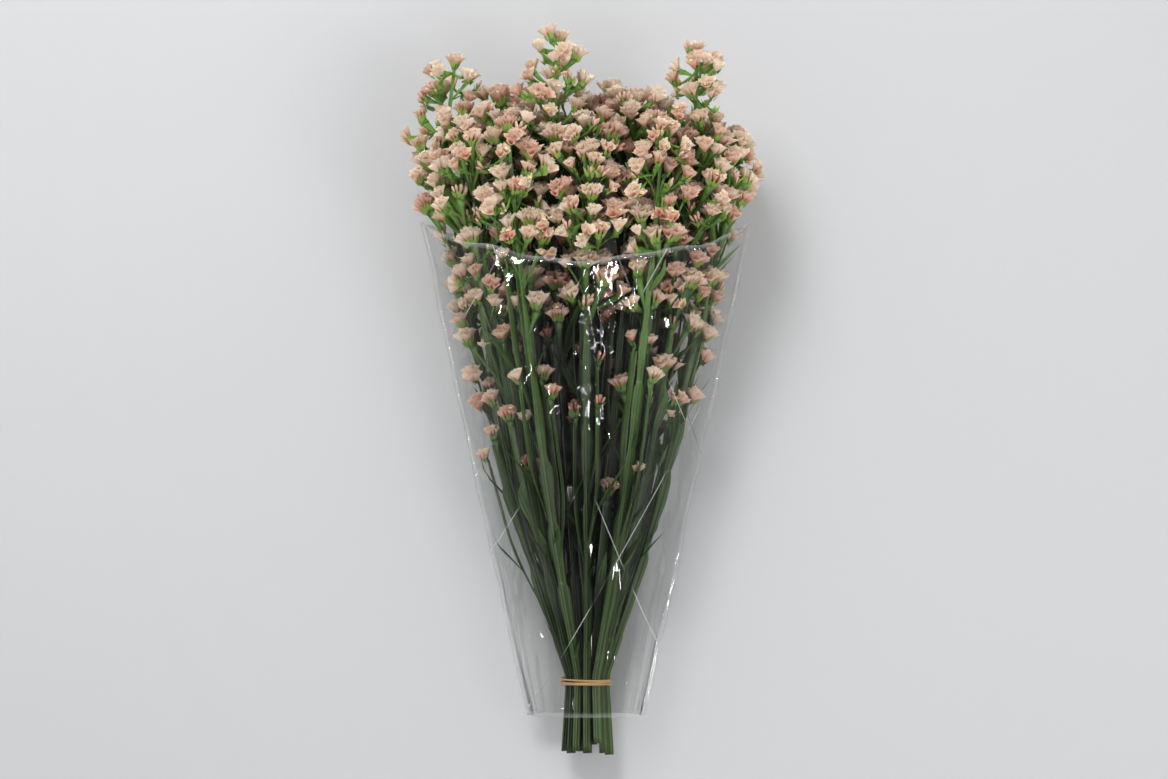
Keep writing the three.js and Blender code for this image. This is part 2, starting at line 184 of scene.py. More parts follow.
def spread(at, wide=HEAD_PROUD_X, tall=HEAD_PROUD_Z):
    """Where a point lies across the bunch, as shares of its half width and half height there."""
    x, y, z = at
    return x / (pitch_x(y) * 2 + wide), (z - axis_z(y)) / (pitch_z(y) * 2 * ROW_STEP + tall)


class Stem:
    """One stem's place in the bundle, its lengths and its flower spikes."""

    def __init__(self, index, row, place, count, draws):
        self.index = index
        self.across, self.up = place - (count - 1) / 2, (row - 2) * ROW_STEP
        self.stray_x, self.stray_z = draws.between(-STRAY, STRAY), draws.between(-STRAY, STRAY)
        self.foot = draws.between(-CUT_RAGGED, CUT_RAGGED)
        self.sprig = SPRIGS.get((row, place))
        top_z = axis_z(MOUTH_Y) + self.up * MOUTH_PITCH_Z
        self.top = crown_y(self.across * MOUTH_PITCH_X, top_z) - TOP_DROP
        if self.sprig:
            self.top = self.sprig["tip"][1]
        self.spikes = []
        steps = SPRIG_STEPS if self.sprig else HEAD_STEPS
        self.levels = [mix(FORK_Y, self.top, i / steps) for i in range(steps + 1)]

    def at(self, y):
        open_ = min(opened(y), 1.2)
        x = (self.across + self.stray_x * open_) * pitch_x(y)
        z = axis_z(y) + (self.up + self.stray_z * open_) * pitch_z(y)
        if self.sprig and y > self.sprig["from"]:
            t = (y - self.sprig["from"]) / (self.sprig["tip"][1] - self.sprig["from"])
            ease = t * t * (3 - 2 * t)
            x, z = mix(x, self.sprig["tip"][0], ease), mix(z, self.sprig["tip"][2], ease)
        return point(x, y, z)

    def axis(self, y):
        after = clamp(sum(level <= y for level in self.levels), 1, len(self.levels) - 1)
        low, high = self.levels[after - 1], self.levels[after]
        return mix(self.at(low), self.at(high), (y - low) / (high - low))


class Spike:
    """A comb of flowers at the end of a branch."""

    def __init__(self, stem, root, tip, out, start, cups, size):
        self.stem, self.root, self.tip, self.out = stem, root, tip, out
        self.start, self.cups, self.size = start, cups, size
        self.comb = self.side = None
        self.snug, self.mood, self.depth, self.young, self.seats = 1, 0, 0, False, []

    def balls(self):
        """The balls that stand for the spike when it is kept clear of others."""
        size, found = self.size, []
        for j in range(self.cups):
            angle = (j - (self.cups - 1) / 2) * CUP_STEP
            reach = self.out * math.cos(angle) + self.comb * math.sin(angle)
            radius = (CUP_HALF + CUP_CLEAR) * size * self.snug
            found.append((self.tip + reach * ((CUP_REACH - 3) * size), radius, True))
        found.append((self.tip + self.out * (WEDGE_AT * size), WEDGE_HALF * size * self.snug, False))
        steps = math.ceil(math.sqrt(((self.tip - self.root) ** 2).sum()) / BALL_STEP)
        for i in range(steps):
            at = mix(self.root, self.tip, (i + 0.5) / steps)
            found.append((at, (BRANCH_WIDE + 0.5) * self.snug, False))
        return found


class Placed:
    """Everything placed so far, as balls."""

    def __init__(self):
        self.at, self.radius = np.zeros((BALLS, 3)), np.zeros(BALLS)
        self.stem, self.cup, self.count = np.zeros(BALLS, int), np.zeros(BALLS, bool), 0

    def keep(self, at, radius, stem, cup):
        n = self.count
        self.at[n], self.radius[n], self.stem[n], self.cup[n] = at, radius, stem, cup
        self.count = n + 1

    def touched(self, at, radius, stem, cup):
        n = self.count
        near = np.abs(self.at[:n, 1] - at[1]) < BALL_REACH
        off = self.at[:n][near] - at
        hit = np.sqrt(off[:, 0] ** 2 + off[:, 1] ** 2 + off[:, 2] ** 2) < self.radius[:n][near] + radius
        if not cup:
            hit &= (self.stem[:n][near] != stem) | self.cup[:n][near]
        return bool(hit.any())


def escapes(at, radius):
    """Whether a ball would reach through the film or into the surface below."""
    if at[2] - radius < FLOOR_GAP:
        return True
    upness = (at[2] - sleeve_z(at[1])) / sleeve_rise(at[1])
    if at[1] - radius > lip_y(upness) + LIP_CLEAR:
        return False
    u = at[0] / (sleeve_half(at[1]) - radius - FILM_CLEAR)
    v = (at[2] - sleeve_z(at[1])) / (sleeve_rise(at[1]) - radius - FILM_CLEAR)
    return u * u + v * v > 1 or at[2] - radius < FILM + FILM_CLEAR


def settle(stems, placed, spike):
    """Turns a spike until it is clear of everything, and keeps it."""
    level = point(0, 0, 1) if abs(spike.out[2]) < 0.9 else point(1, 0, 0)
    first = unit(np.cross(level, spike.out))
    for turn in range(TURNS):
        angle = spike.start + turn * math.pi / TURNS
        spike.comb = first * math.cos(angle) + np.cross(spike.out, first) * math.sin(angle)
        spike.side = np.cross(spike.out, spike.comb)
        balls = spike.balls()
        if any(escapes(at, radius) for at, radius, _ in balls):
            continue
        if any(placed.touched(at, radius, spike.stem, cup) for at, radius, cup in balls):
            continue
        for at, radius, cup in balls:
            placed.keep(at, radius, spike.stem, cup)
        stems[spike.stem].spikes.append(spike)
        return True
    return False


def canopy_places(draws):
    """The places of the head's flower spikes, from the outside inwards."""
    places = []
    for layer in range(math.ceil((CROWN_Y - FORK_Y) / LAYER_STEP) + 1):
        for row in range(-4, 5):
            for place in range(-7, 8):
                shift = (0.5 if layer % 2 else 0) + (0.5 if row % 2 else 0)
                x = (place + shift) * SPIKE_PITCH + draws.between(-5, 5)
                rise = row + (0.5 if layer % 2 else 0)
                z = MOUTH_AXIS_Z + rise * SPIKE_PITCH * ROW_STEP + draws.between(-4, 4)
                y = FORK_Y + FIRST_LAYER + layer * LAYER_STEP + draws.between(-6, 6)
                chance = draws.one()
                u, v = spread((x, y, z))
                ring = math.hypot(u, v)
                below = crown_y(x, z) - y
                if ring > 1 or below < 8:
                    continue
                depth = min(below * CROWN_SHARE, (1 - ring) * RING_DEPTH)
                low = y < LIP_FRONT_Y - 20
                share = 0.32 if low else 1 if v > 0 or ring < 0.6 else 0.5
                if depth > SHELL_DEPTH or chance > share or (low and ring < 0.5):
                    continue
                places.append((depth, point(x, y, z), point(u / 1.3, 0, v), ring))
    return sorted(places, key=lambda entry: entry[0])


def plan_bunch():
    """The stems with all their spikes, as the solids have them."""
    draws, stems, placed = Draws(20417), [], Placed()
    for row, count in enumerate(ROWS):
        for place in range(count):
            stems.append(Stem(len(stems), row, place, count, draws))
    for stem in stems:
        y = STALK_FROM
        while y < stem.top:
            placed.keep(stem.at(y), WING_REACH + 0.4 if y < FORK_Y else HEAD_FOOT_REACH, stem.index, False)
            y += BALL_STEP
    for stem in stems:
        end = stem.at(stem.top)
        rise = unit(end - stem.axis(stem.top - 12))
        start = draws.between(0, math.pi)
        settle(stems, placed, Spike(stem.index, stem.axis(stem.top - 4), end, rise, start, 3, 0.85))
        if not stem.sprig:
            continue
        side, y = 1, stem.top - 16
        while y > stem.sprig["from"] + 8:
            root = stem.axis(y - 12)
            reach = draws.between(11, 17) + (stem.top - y) * 0.08
            twist = draws.between(-0.5, 0.5)
            tip = stem.axis(y) + point(side * reach, draws.between(2, 8), reach * twist)
            out = unit(mix(unit(tip - root), rise, 0.35))
            start = draws.between(0, math.pi)
            cups = 2 if draws.one() < 0.5 else 3
            settle(stems, placed, Spike(stem.index, root, tip, out, start, cups, draws.between(0.72, 0.86)))
            side, y = -side, y - SPRIG_STEP
    for depth, at, outward, ring in canopy_places(draws):
        gaps = []
        for stem in stems:
            centre = stem.axis(min(at[1], stem.top - 6))
            gaps.append(math.hypot(centre[0] - at[0], centre[2] - at[2]))
        stem = stems[gaps.index(min(gaps))]
        start, size, pick = draws.between(0, math.pi), draws.between(0.86, 1.14), draws.one()
        cups = 2 if pick < 0.2 else 3 if pick < 0.72 else 4
        flare = clamp(1 - depth / 70, 0, 1) * ring
        for attempt in range(6):
            centre = stem.axis(min(at[1], stem.top - 6))
            tip = point(mix(at[0], centre[0], attempt * 0.1), at[1], mix(at[2], centre[2], attempt * 0.1))
            reach = math.hypot(centre[0] - tip[0], centre[2] - tip[2])
            root_y = clamp(tip[1] - 16 - reach * 1.25 - attempt * ROOT_APART, FORK_Y + 8, stem.top - 8)
            if any(abs(other.root[1] - root_y) < ROOT_APART for other in stem.spikes):
                continue
            root = stem.axis(root_y)
            out = unit(tip - root) + outward * (flare * 0.9) + point(0, 0.25, 0)
            if tip[2] < 34:
                out[2] = max(out[2], -0.12)
            out = unit(out)
            tip = tip + out * (-CUP_REACH * size * 0.6)
            if tip[1] > root[1] + 4 and settle(
                stems, placed, Spike(stem.index, root, tip, out, start, cups, size)
            ):
                break
    return stems, placed


class Shoot:
    """A side shoot that leaves a stalk low down and rises beside it."""

    def __init__(self, stem, low, high, turn, gap):
        self.stem, self.low, self.high = stem, low, high
        self.aside = point(math.cos(turn), 0, math.sin(turn)) * gap

    def at(self, t):
        y = mix(self.low, self.high, t)
        middle = self.stem.at(y) if y < FORK_Y else self.stem.axis(min(y, self.stem.top))
        return middle + self.aside * math.sin(min(t * 1.7, 1) * math.pi / 2)


def add_shoots(stems, placed, draws):
    """Fills the lower head and the upper stalks with side shoots, each with a comb."""
    for stem in stems:
        stem.shoots = []
        for start in SHOOT_STARTS:
            low = start + draws.between(-14, 14)
            for _ in range(10):
                high = low + draws.between(110, 190)
                shoot = Shoot(stem, low, high, draws.between(0, math.tau), draws.between(7, 15))
                route = [shoot.at(t) for t in (0.45, 0.6, 0.75, 0.9, 1)]
                if any(escapes(at, 2.6) or placed.touched(at, SHOOT_HALF, stem.index, False) for at in route):
                    continue
                along = unit(route[-1] - route[-2])
                out = unit(along + unit(shoot.aside) * 0.45)
                cups, tip = 2 if draws.one() < 0.6 else 3, route[-1] + along * 5
                spike = Spike(stem.index, route[-2], tip, out, draws.between(0, 3), cups, 0.85)
                spike.snug = SHOOT_SNUG
                if settle(stems, placed, spike):
                    for at in route:
                        placed.keep(at, SHOOT_HALF, stem.index, False)
                    stem.shoots.append(shoot)
                    break


def shows(at):
    """Whether a place is in the upper head and near enough to its outside to be seen."""
    if at[1] < COMPANY_Y:
        return False
    return math.hypot(*spread(at)) > SHOWING or crown_y(at[0], at[2]) - at[1] < 45


def add_companions(stems, placed, draws):
    """Gives each branch smaller combs beside its own, wherever there is room and they show."""
    parents = [spike for stem in stems for spike in stem.spikes]
    for most in COMPANIONS:
        grown = []
        for parent in parents:
            room = math.sqrt(((parent.tip - parent.root) ** 2).sum())
            begin, found = draws.between(0, math.tau), 0
            for k in range(6):
                turn = begin + k * math.tau / 6
                aside = parent.comb * math.cos(turn) + parent.side * math.sin(turn)
                tip = parent.tip + aside * draws.between(12, 17) - parent.out * draws.between(2, 12)
                root = mix(parent.root, parent.tip, draws.between(0.3, 0.6) if room > 14 else 0.2)
                out = unit(unit(tip - root) + aside * 0.25 + point(0, 0.45, 0))
                cups, size = (1, 2, 2, 3)[int(draws.one() * 3.99)], draws.between(0.8, 1.0)
                spike = Spike(parent.stem, root, tip, out, draws.between(0, math.pi), cups, size)
                spike.snug = SMALL_SNUG
                if found < most and shows(tip) and settle(stems, placed, spike):
                    found += 1
                    grown.append(spike)
        parents = grown


def inside(at):
    """How deep in the bunch a point lies, for the painted shade inside it: 0 at its outside, 1 well inside.
    """
    wide = 6 + 18 * min(opened(at[1]), 1)
    down = (crown_y(at[0], at[2]) - at[1]) / CROWN_DEPTH
    return clamp(min((RIM_RING - math.hypot(*spread(at, wide, wide))) / RIM_DEPTH, down), 0, 1)


def seat_flowers(stems, draws):
    """Sets the flowers of each comb by turns on its two sides, rosier where they lie deeper in the head."""
    for stem in stems:
        for spike in stem.spikes:
            x, y, z = spike.tip
            spike.depth = min(crown_y(x, z) - y, (1.05 - math.hypot(*spread(spike.tip))) * 150)
            # The mood is partly drawn at random, the flowers' own tone, and partly from depth, painted shade
            # that makes deeper combs rosier.
            spike.mood = draws.one() * 0.7 + 0.3 * clamp(1 - spike.depth / SHADE_DEPTH, 0, 1)
            spike.young = spike.snug < 1 and draws.one() < YOUNG
            count = 3 * spike.cups if spike.snug == 1 else 2 * spike.cups + 1
            half = (spike.cups - 1) / 2 * CUP_STEP + 0.2
            for i in range(count):
                angle = mix(-half, half, i / (count - 1)) + draws.between(-0.06, 0.06)
                side = 1 if i % 2 else -1
                out = spike.out * math.cos(angle) + spike.comb * math.sin(angle)
                base = spike.tip + out * (SEAT_REACH * spike.size) + spike.side * (side * 1.2)
                lean = spike.side * (side * draws.between(0.15, 0.42))
                lean = lean + spike.comb * draws.between(-0.12, 0.12)
                spike.seats.append((base, unit(out + lean + point(0, UPRIGHT, 0)), side))


SHIFT = Vector(((SLEEVE_LOW[0] + SLEEVE_HIGH[0]) / 2, SLEEVE_LOW[1] - SLEEVE_FOOT_Y * MM, SLEEVE_LOW[2]))
PLAN = []


def planned():
    """The planned stems, without which no plant can be made."""
    if not PLAN:
        raise RuntimeError("The bunch has to be planned first: run main().")
    return PLAN


def linear(colour):
    """An sRGB hex colour as linear RGBA."""
    parts = [int(colour[i : i + 2], 16) / 255 for i in (1, 3, 5)]
    return tuple(c / 12.92 if c <= 0.04045 else ((c + 0.055) / 1.055) ** 2.4 for c in parts) + (1.0,)


def colour_prop(name, description, colour):
    return FloatVectorProperty(
        name=name, description=description, default=linear(colour), size=4, min=0, max=1, subtype="COLOR"
    )


def length_prop(name, description, millimetres):
    return FloatProperty(name=name, description=description, default=millimetres * MM, min=0, unit="LENGTH")


class StemSettings(bpy.types.PropertyGroup):
    """The green parts of the bunch."""

    # The low stalk green is partly the wings' own blue-green and partly painted shade of the lower bunch.
    low: colour_prop("Low stalk", "The blue-green wings of the stalks near the cut ends", "#283E12")
    high: colour_prop("High stalk", "The fresher green of the branches in the head", "#6FA040")
    # Painted shade: the dark green that stalks, shoots and bracts deep in the bunch are drawn in.
    inner: colour_prop("Painted shade green", "The dark green of what grows deep in the bunch", "#111B09")
    rib: colour_prop("Rib", "The paler ribs that run along the wings", "#70904A")
    node: colour_prop("Node", "The yellow-green knots where branches leave", "#A9C068")
    bract: colour_prop("Bract", "The scales that hold each flower", "#7EAA3C")
    bract_tip: colour_prop("Bract tip", "The dry points and edges of the scales", "#D6DB8A")
    pith: colour_prop("Cut pith", "The cut ends of the stalks", "#C3CB98")
    blade: length_prop("Wing thickness", "Thickness of a stalk's wing", 1.3)


class FlowerSettings(bpy.types.PropertyGroup):
    """The papery flowers."""

    lip: colour_prop("Lip", "The cream rim of the papery calyx", "#FDF3DF")
    paper: colour_prop("Paper", "The peach body of the papery calyx", "#FBE2C9")
    vein: colour_prop("Vein", "The pink veins and folds of the calyx", "#E9A692")
    throat: colour_prop("Throat", "The coral inside the calyx", "#E0957F")
    # Painted shade: the darker rose that calyces deep in the head are drawn in.
    inner: colour_prop("Painted shade rose", "The deep rose of the calyces inside the head", "#7C4134")
    petal: colour_prop("Petal", "The small true flower in the calyx", "#FAEFCB")
    eye: colour_prop("Eye", "The middle of the small true flower", "#E3B02F")
    width: length_prop("Width", "Width of one papery calyx at its rim", 10.6)
    height: length_prop("Height", "Height of one papery calyx", 8.8)
    open_share: FloatProperty(
        name="Open share",
        description="Share of the calyces that hold an open flower",
        default=0.16,
        subtype="FACTOR",
    )


class WrapSettings(bpy.types.PropertyGroup):
    """The film sleeve and the rubber band."""

    # This tint also colours the painted highlight along the creases and the film's rim.
    film: colour_prop("Film", "The tint of the film where it is creased", "#EEF1F0")
    rubber: colour_prop("Rubber", "The natural rubber of the band", "#B98F5A")
    wall: length_prop("Wall", "Thickness of the film", 0.1)
    fold: length_prop("Fold", "Height of the film's wide folds", 3.0)
    seam: length_prop("Seam", "How far the two welded side seams stand out", 4.0)
    turns: IntProperty(name="Turns", description="Turns of the rubber band", default=3, min=1)


class StageSettings(bpy.types.PropertyGroup):
    """The floor, the light and the camera."""

    floor: colour_prop("Floor", "The pale surface that the bunch lies on", "#D3D4D6")
    key: FloatProperty(name="Key", description="Power of the main softbox", default=34.0, unit="POWER")
    sky: FloatProperty(name="Sky", description="Strength of the light from all round", default=0.78)
    distance: length_prop("Distance", "Height of the camera over the surface", 2510)


# Shapes that are repeated, each made once with bmesh operators.


def layers(bm):
    return [bm.verts.layers.float.get(n) or bm.verts.layers.float.new(n) for n in LAYERS]


def kept_mesh(bm, name):
    mesh = bpy.data.meshes.new(name)
    bm.to_mesh(mesh)
    bm.free()
    return mesh


def unit_tube(bm, sides, steps, capped):
    """A tube of radius 1 along Z from 0 to 1, cut across into steps."""
    raised = Matrix.Translation((0, 0, 0.5))
    bmesh.ops.create_cone(bm, cap_ends=capped, segments=sides, radius1=1, radius2=1, depth=1, matrix=raised)
    if steps > 1:
        upright = [e for e in bm.edges if abs(e.verts[0].co.z - e.verts[1].co.z) > 0.5]
        bmesh.ops.subdivide_edges(bm, edges=upright, cuts=steps - 1, use_grid_fill=True)


def tube_template(name, sides, steps, capped=True):
    """A unit tube, with its angle and height as a UV map."""
    bm = bmesh.new()
    rise, _, _, _ = layers(bm)
    unit_tube(bm, sides, steps, capped)
    uv = bm.loops.layers.uv.new("Along")
    for face in bm.faces:
        turns = [turned(loop.vert.co) / math.tau % 1 for loop in face.loops]
        wraps = max(turns) - min(turns) > 0.5
        for loop, turn in zip(face.loops, turns):
            loop[uv].uv = (turn + (1 if wraps and turn < 0.5 else 0), loop.vert.co.z)
    for v in bm.verts:
        v[rise] = v.co.z
    return kept_mesh(bm, name)


def calyx_template(name, pleats, flare, draws):
    """A pleated paper funnel with a slanting, ruffled mouth, 1 high and about 1 wide at its rim."""
    bm = bmesh.new()
    rise, vein, _, _ = layers(bm)
    unit_tube(bm, pleats * 2, 3, False)
    radii, heights = (0.12, 0.25, 0.41, 0.52), (0.0, 0.34, 0.7, 1.0)
    slant, ruffle, lobes = (draws.between(0, math.tau) for _ in range(3))
    for v in bm.verts:
        step = round(v.co.z * 3)
        turn = turned(v.co)
        t = step / 3
        fold = math.cos(pleats * turn)
        wave = math.cos(5 * turn + lobes) + 0.7 * math.cos(3 * turn + ruffle)
        radius = mix(radii[step], radii[step] * flare, t * t) * (1 + (0.09 * fold + 0.1 * wave) * t * t)
        height = heights[step] + t**3 * (0.07 * wave + 0.03 * fold + 0.1 * math.cos(turn + slant))
        v.co = (radius * math.cos(turn), radius * math.sin(turn), height)
        v[rise] = t
        v[vein] = 0.5 - 0.5 * fold
    return kept_mesh(bm, name)


def bud_template(name):
    """A closed young flower: a slim pleated tube."""
    bm = bmesh.new()
    rise, vein, _, _ = layers(bm)
    unit_tube(bm, 6, 3, True)
    for v in bm.verts:
        t = v.co.z
        radius = (0.09, 0.13, 0.17, 0.1)[round(t * 3)]
        v[rise], v[vein] = 0.5 + 0.35 * t, 0.55
        v.co = (v.co.x * radius, v.co.y * radius, t)
    return kept_mesh(bm, name)


def petal_template(name):
    """The small true flower: five petals round a short throat."""
    bm = bmesh.new()
    rise, _, _, _ = layers(bm)
    bmesh.ops.create_circle(bm, cap_ends=True, segments=10, radius=1)
    bmesh.ops.poke(bm, faces=bm.faces[:])
    for v in bm.verts:
        reach = v.co.length
        turn = turned(v.co)
        out = reach * (0.74 + 0.26 * math.cos(5 * turn))
        v[rise] = reach
        v.co = (out * math.cos(turn), out * math.sin(turn), 0.4 * out - 0.5 * (1 - reach))
    return kept_mesh(bm, name)


def leaf_template(name, rows, widest, taper):
    """A pointed leaf, 1 long and 1 wide, its edges raised a little from its keel."""
    bm = bmesh.new()
    rise, vein, _, _ = layers(bm)
    bmesh.ops.create_grid(bm, x_segments=2, y_segments=rows, size=0.5)
    uv = bm.loops.layers.uv.new("Along")
    for face in bm.faces:
        for loop in face.loops:
            loop[uv].uv = (loop.vert.co.x * 0.4 + 0.5, loop.vert.co.y + 0.5)
    for v in bm.verts:
        t, side = v.co.y + 0.5, v.co.x * 2
        swell = max(math.sin(min(t / widest, 1) * math.pi / 2), 0.2) ** 0.75
        wide = 0.5 * (swell if t < widest else max((1 - t) / (1 - widest), 0.02) ** taper)
        v[rise], v[vein] = t, abs(side)
        v.co = (side * wide, t, 0.5 * wide * abs(side) ** 1.5)
    return kept_mesh(bm, name)


def lay(bm, template, place, tone, index=0, rises=None):
    """Appends a copy of a template to a piece, each of its points moved by a rule."""
    verts, faces = len(bm.verts), len(bm.faces)
    bm.from_mesh(template)
    bm.verts.ensure_lookup_table()
    bm.faces.ensure_lookup_table()
    rise, _, tone_layer, deep = layers(bm)
    for v in bm.verts[verts:]:
        if rises:
            v[rise] = rises(v.co)
        v.co = place(v.co)
        # Each point's depth, which darkens it as painted shade.
        v[tone_layer], v[deep] = tone, inside(v.co)
    for face in bm.faces[faces:]:
        face.material_index = index
        face.smooth = True
    return bm.faces[faces:]


def tucked(co):
    """Keeps a point of a plant inside the film and above the surface."""
    x, y, z = co
    middle, rise = sleeve_z(y), sleeve_rise(y)
    if y < lip_y((z - middle) / rise) + 1:
        u, v = x / (sleeve_half(y) - STEM_CLEAR), (z - middle) / (rise - STEM_CLEAR)
        out = math.hypot(u, v)
        if out > 1:
            x, z = x / out, middle + (z - middle) / out
        return Vector((x, y, max(z, 1.0)))
    return Vector((x, y, max(z, 0.15)))


def finish_piece(bm, name, materials, slot, *nodes):
    """Turns a planned piece into a placed object that rides on the bunch."""
    bmesh.ops.transform(bm, matrix=Matrix.Translation(SHIFT) @ Matrix.Scale(MM, 4), verts=bm.verts)
    mesh = kept_mesh(bm, name)
    for material in materials:
        mesh.materials.append(material)
    piece = bpy.data.objects.new(name, mesh)
    bpy.context.scene.collection.objects.link(piece)
    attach(piece, "root")
    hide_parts(*nodes)
    return piece


# Materials.


def add(tree, kind, inputs=None, stops=(), **settings):
    """Adds a node with its settings, and gives each input its value or the node or socket that feeds it."""
    node = tree.nodes.new("ShaderNode" + kind)
    for key, value in settings.items():
        setattr(node, key, value)
    for key, value in (inputs or {}).items():
        if isinstance(value, bpy.types.Node):
            value = next(output for output in value.outputs if output.enabled)
        if isinstance(value, bpy.types.NodeSocket):
            tree.links.new(value, node.inputs[key])
        else:
            node.inputs[key].default_value = value
    for i, (position, colour) in enumerate(stops):
        elements = node.color_ramp.elements
        element = elements[i] if i < 2 else elements.new(position)
        element.position, element.color = position, tuple(colour)
    return node


def made(name, skin, settings):
    """A material with the surface that one of the skins below builds."""
    material = bpy.data.materials.new(name)
    material.use_nodes = True
    tree = material.node_tree
    tree.nodes.clear()
    add(tree, "OutputMaterial", {"Surface": skin(tree, settings)})
    return material


def painted_shade(tree, deep, share, colour, inner):
    """A colour that nears a darker inner one where the plant lies deep in the bunch, as painted shade."""
    dull = add(tree, "Math", {0: deep, 1: share}, operation="MULTIPLY")
    return add(tree, "Mix", {0: dull, 6: colour, 7: inner}, data_type="RGBA")


def stem_skin(tree, settings):
    """Living winged stalk: waxy, blue-green below and fresher above, with paler ribs along it; its dark green
    near the cut ends is partly painted shade.
    """
    rise, _, tone, deep = (add(tree, "Attribute", attribute_name=n).outputs["Fac"] for n in LAYERS)
    place = add(tree, "TexCoord").outputs["Object"]
    # Ribs 0.7 mm apart are too fine to show, so they are drawn 2 mm apart round 45 mm of outline.
    along = add(tree, "UVMap", uv_map="Along")
    lanes = add(tree, "Mapping", {"Vector": along, "Scale": (23, 1.0, 1)})
    ribs = add(tree, "TexNoise", {"Vector": lanes, "Scale": 1.0, "Detail": 1.0})
    pale = add(tree, "MapRange", {"Value": ribs, "From Min": 0.44, "From Max": 0.62, "To Max": 0.5})
    mottle = add(tree, "TexNoise", {"Vector": place, "Scale": 70.0, "Detail": 2.0})
    up = add(tree, "SeparateXYZ", {0: place}).outputs["Y"]
    # Darker toward the cut ends: partly the stalks' own blue-green, partly painted shade of the lower bunch.
    span = {"From Min": -0.1, "From Max": 0.25, "To Min": -0.5, "To Max": 0.72}
    fresh_and_unshaded = add(tree, "MapRange", {"Value": up, **span})
    varied = add(tree, "Math", {0: mottle, 1: 0.5, 2: fresh_and_unshaded}, operation="MULTIPLY_ADD")
    young = add(tree, "Math", {0: tone, 1: 0.35, 2: varied}, operation="MULTIPLY_ADD", use_clamp=True)
    green = add(tree, "Mix", {0: young, 6: settings.low, 7: settings.high}, data_type="RGBA")
    ribbed = add(tree, "Mix", {0: pale, 6: green, 7: settings.rib}, data_type="RGBA")
    knot = add(tree, "Math", {0: rise, 1: 1.0}, operation="SUBTRACT", use_clamp=True)
    knotted = add(tree, "Mix", {0: knot, 6: ribbed, 7: settings.node}, data_type="RGBA")
    # Painted shade: stalks and shoots deep in the bunch are drawn darker.
    colour = painted_shade(tree, deep, 0.92, knotted, settings.inner)
    bump = add(tree, "Bump", {"Height": ribs, "Strength": 0.7, "Distance": 0.0005})
    return add(tree, "BsdfPrincipled", {"Base Color": colour, "Roughness": 0.5, "IOR": 1.44, "Normal": bump})


def bract_skin(tree, settings):
    """Papery green bract: dull, green at its keel, straw-coloured at its edge and point."""
    rise, vein, tone, deep = (add(tree, "Attribute", attribute_name=n).outputs["Fac"] for n in LAYERS)
    ripe = add(tree, "Math", {0: rise, 1: 3.0}, operation="POWER")
    edge = add(tree, "Math", {0: vein, 1: 0.2}, operation="MULTIPLY")
    thin = add(tree, "Math", {0: ripe, 1: 0.8, 2: edge}, operation="MULTIPLY_ADD")
    dry = add(tree, "Math", {0: tone, 1: 0.22, 2: thin}, operation="MULTIPLY_ADD", use_clamp=True)
    green = add(tree, "Mix", {0: dry, 6: settings.bract, 7: settings.bract_tip}, data_type="RGBA")
    place = add(tree, "TexCoord").outputs["Object"]
    up = add(tree, "SeparateXYZ", {0: place}).outputs["Y"]
    # Bracts are drawn darker toward the cut ends, mixed with the low stalk green, which holds painted shade.
    toward_cut_ends = add(tree, "MapRange", {"Value": up, "From Min": 0.24, "From Max": -0.1, "To Max": 0.5})
    darkened_low = add(tree, "Mix", {0: toward_cut_ends, 6: green, 7: settings.low}, data_type="RGBA")
    # Painted shade: bracts deep in the bunch are drawn darker.
    colour = painted_shade(tree, deep, 0.92, darkened_low, settings.inner)
    return add(tree, "BsdfPrincipled", {"Base Color": colour, "Roughness": 0.66, "IOR": 1.4})


def calyx_paper(tree, settings):
    """Papery calyx: thin dry tissue that lets light through, with coral throat, pink folds and cream lip."""
    rise, vein, tone, deep = (add(tree, "Attribute", attribute_name=n).outputs["Fac"] for n in LAYERS)
    stops = (0.0, linear("#A9B26E")), (0.28, settings.throat), (0.6, settings.paper), (0.98, settings.lip)
    body = add(tree, "ValToRGB", {"Fac": rise}, stops)
    fade = add(tree, "Math", {0: rise, 1: -0.6, 2: 0.85}, operation="MULTIPLY_ADD")
    streak = add(tree, "Math", {0: vein, 1: fade}, operation="MULTIPLY")
    veined = add(tree, "Mix", {0: streak, 6: body, 7: settings.vein}, data_type="RGBA")
    cream = add(tree, "MapRange", {"Value": tone, "From Min": 0.42, "From Max": 0.95, "To Max": 0.75})
    creamed = add(tree, "Mix", {0: cream, 6: veined, 7: settings.lip}, data_type="RGBA")
    rosy = add(tree, "MapRange", {"Value": tone, "From Min": 0.55, "From Max": 0.0, "To Max": 0.7})
    warm = add(tree, "Mix", {0: rosy, 6: creamed, 7: settings.throat}, data_type="RGBA")
    # Painted shade: calyces deep in the head are drawn darker and rosier.
    colour = painted_shade(tree, deep, 0.75, warm, settings.inner)
    # The tissue's own grain is too fine to show, so its crinkle is drawn at about 0.6 mm.
    place = add(tree, "TexCoord").outputs["Object"]
    crinkle = add(tree, "TexNoise", {"Vector": place, "Scale": 1700.0, "Detail": 1.0})
    bump = add(tree, "Bump", {"Height": crinkle, "Strength": 0.3, "Distance": 0.0002})
    paper = add(tree, "BsdfPrincipled", {"Base Color": colour, "Roughness": 0.8, "IOR": 1.38, "Normal": bump})
    through = add(tree, "BsdfTranslucent", {"Color": colour})
    return add(tree, "MixShader", {0: 0.16, 1: paper, 2: through})


def petal_skin(tree, settings):
    """Soft small petal: cream with a yellow eye."""
    rise = add(tree, "Attribute", attribute_name="rise").outputs["Fac"]
    colour = add(tree, "ValToRGB", {"Fac": rise}, ((0.35, settings.eye), (0.8, settings.petal)))
    return add(tree, "BsdfPrincipled", {"Base Color": colour, "Roughness": 0.6, "IOR": 1.38})


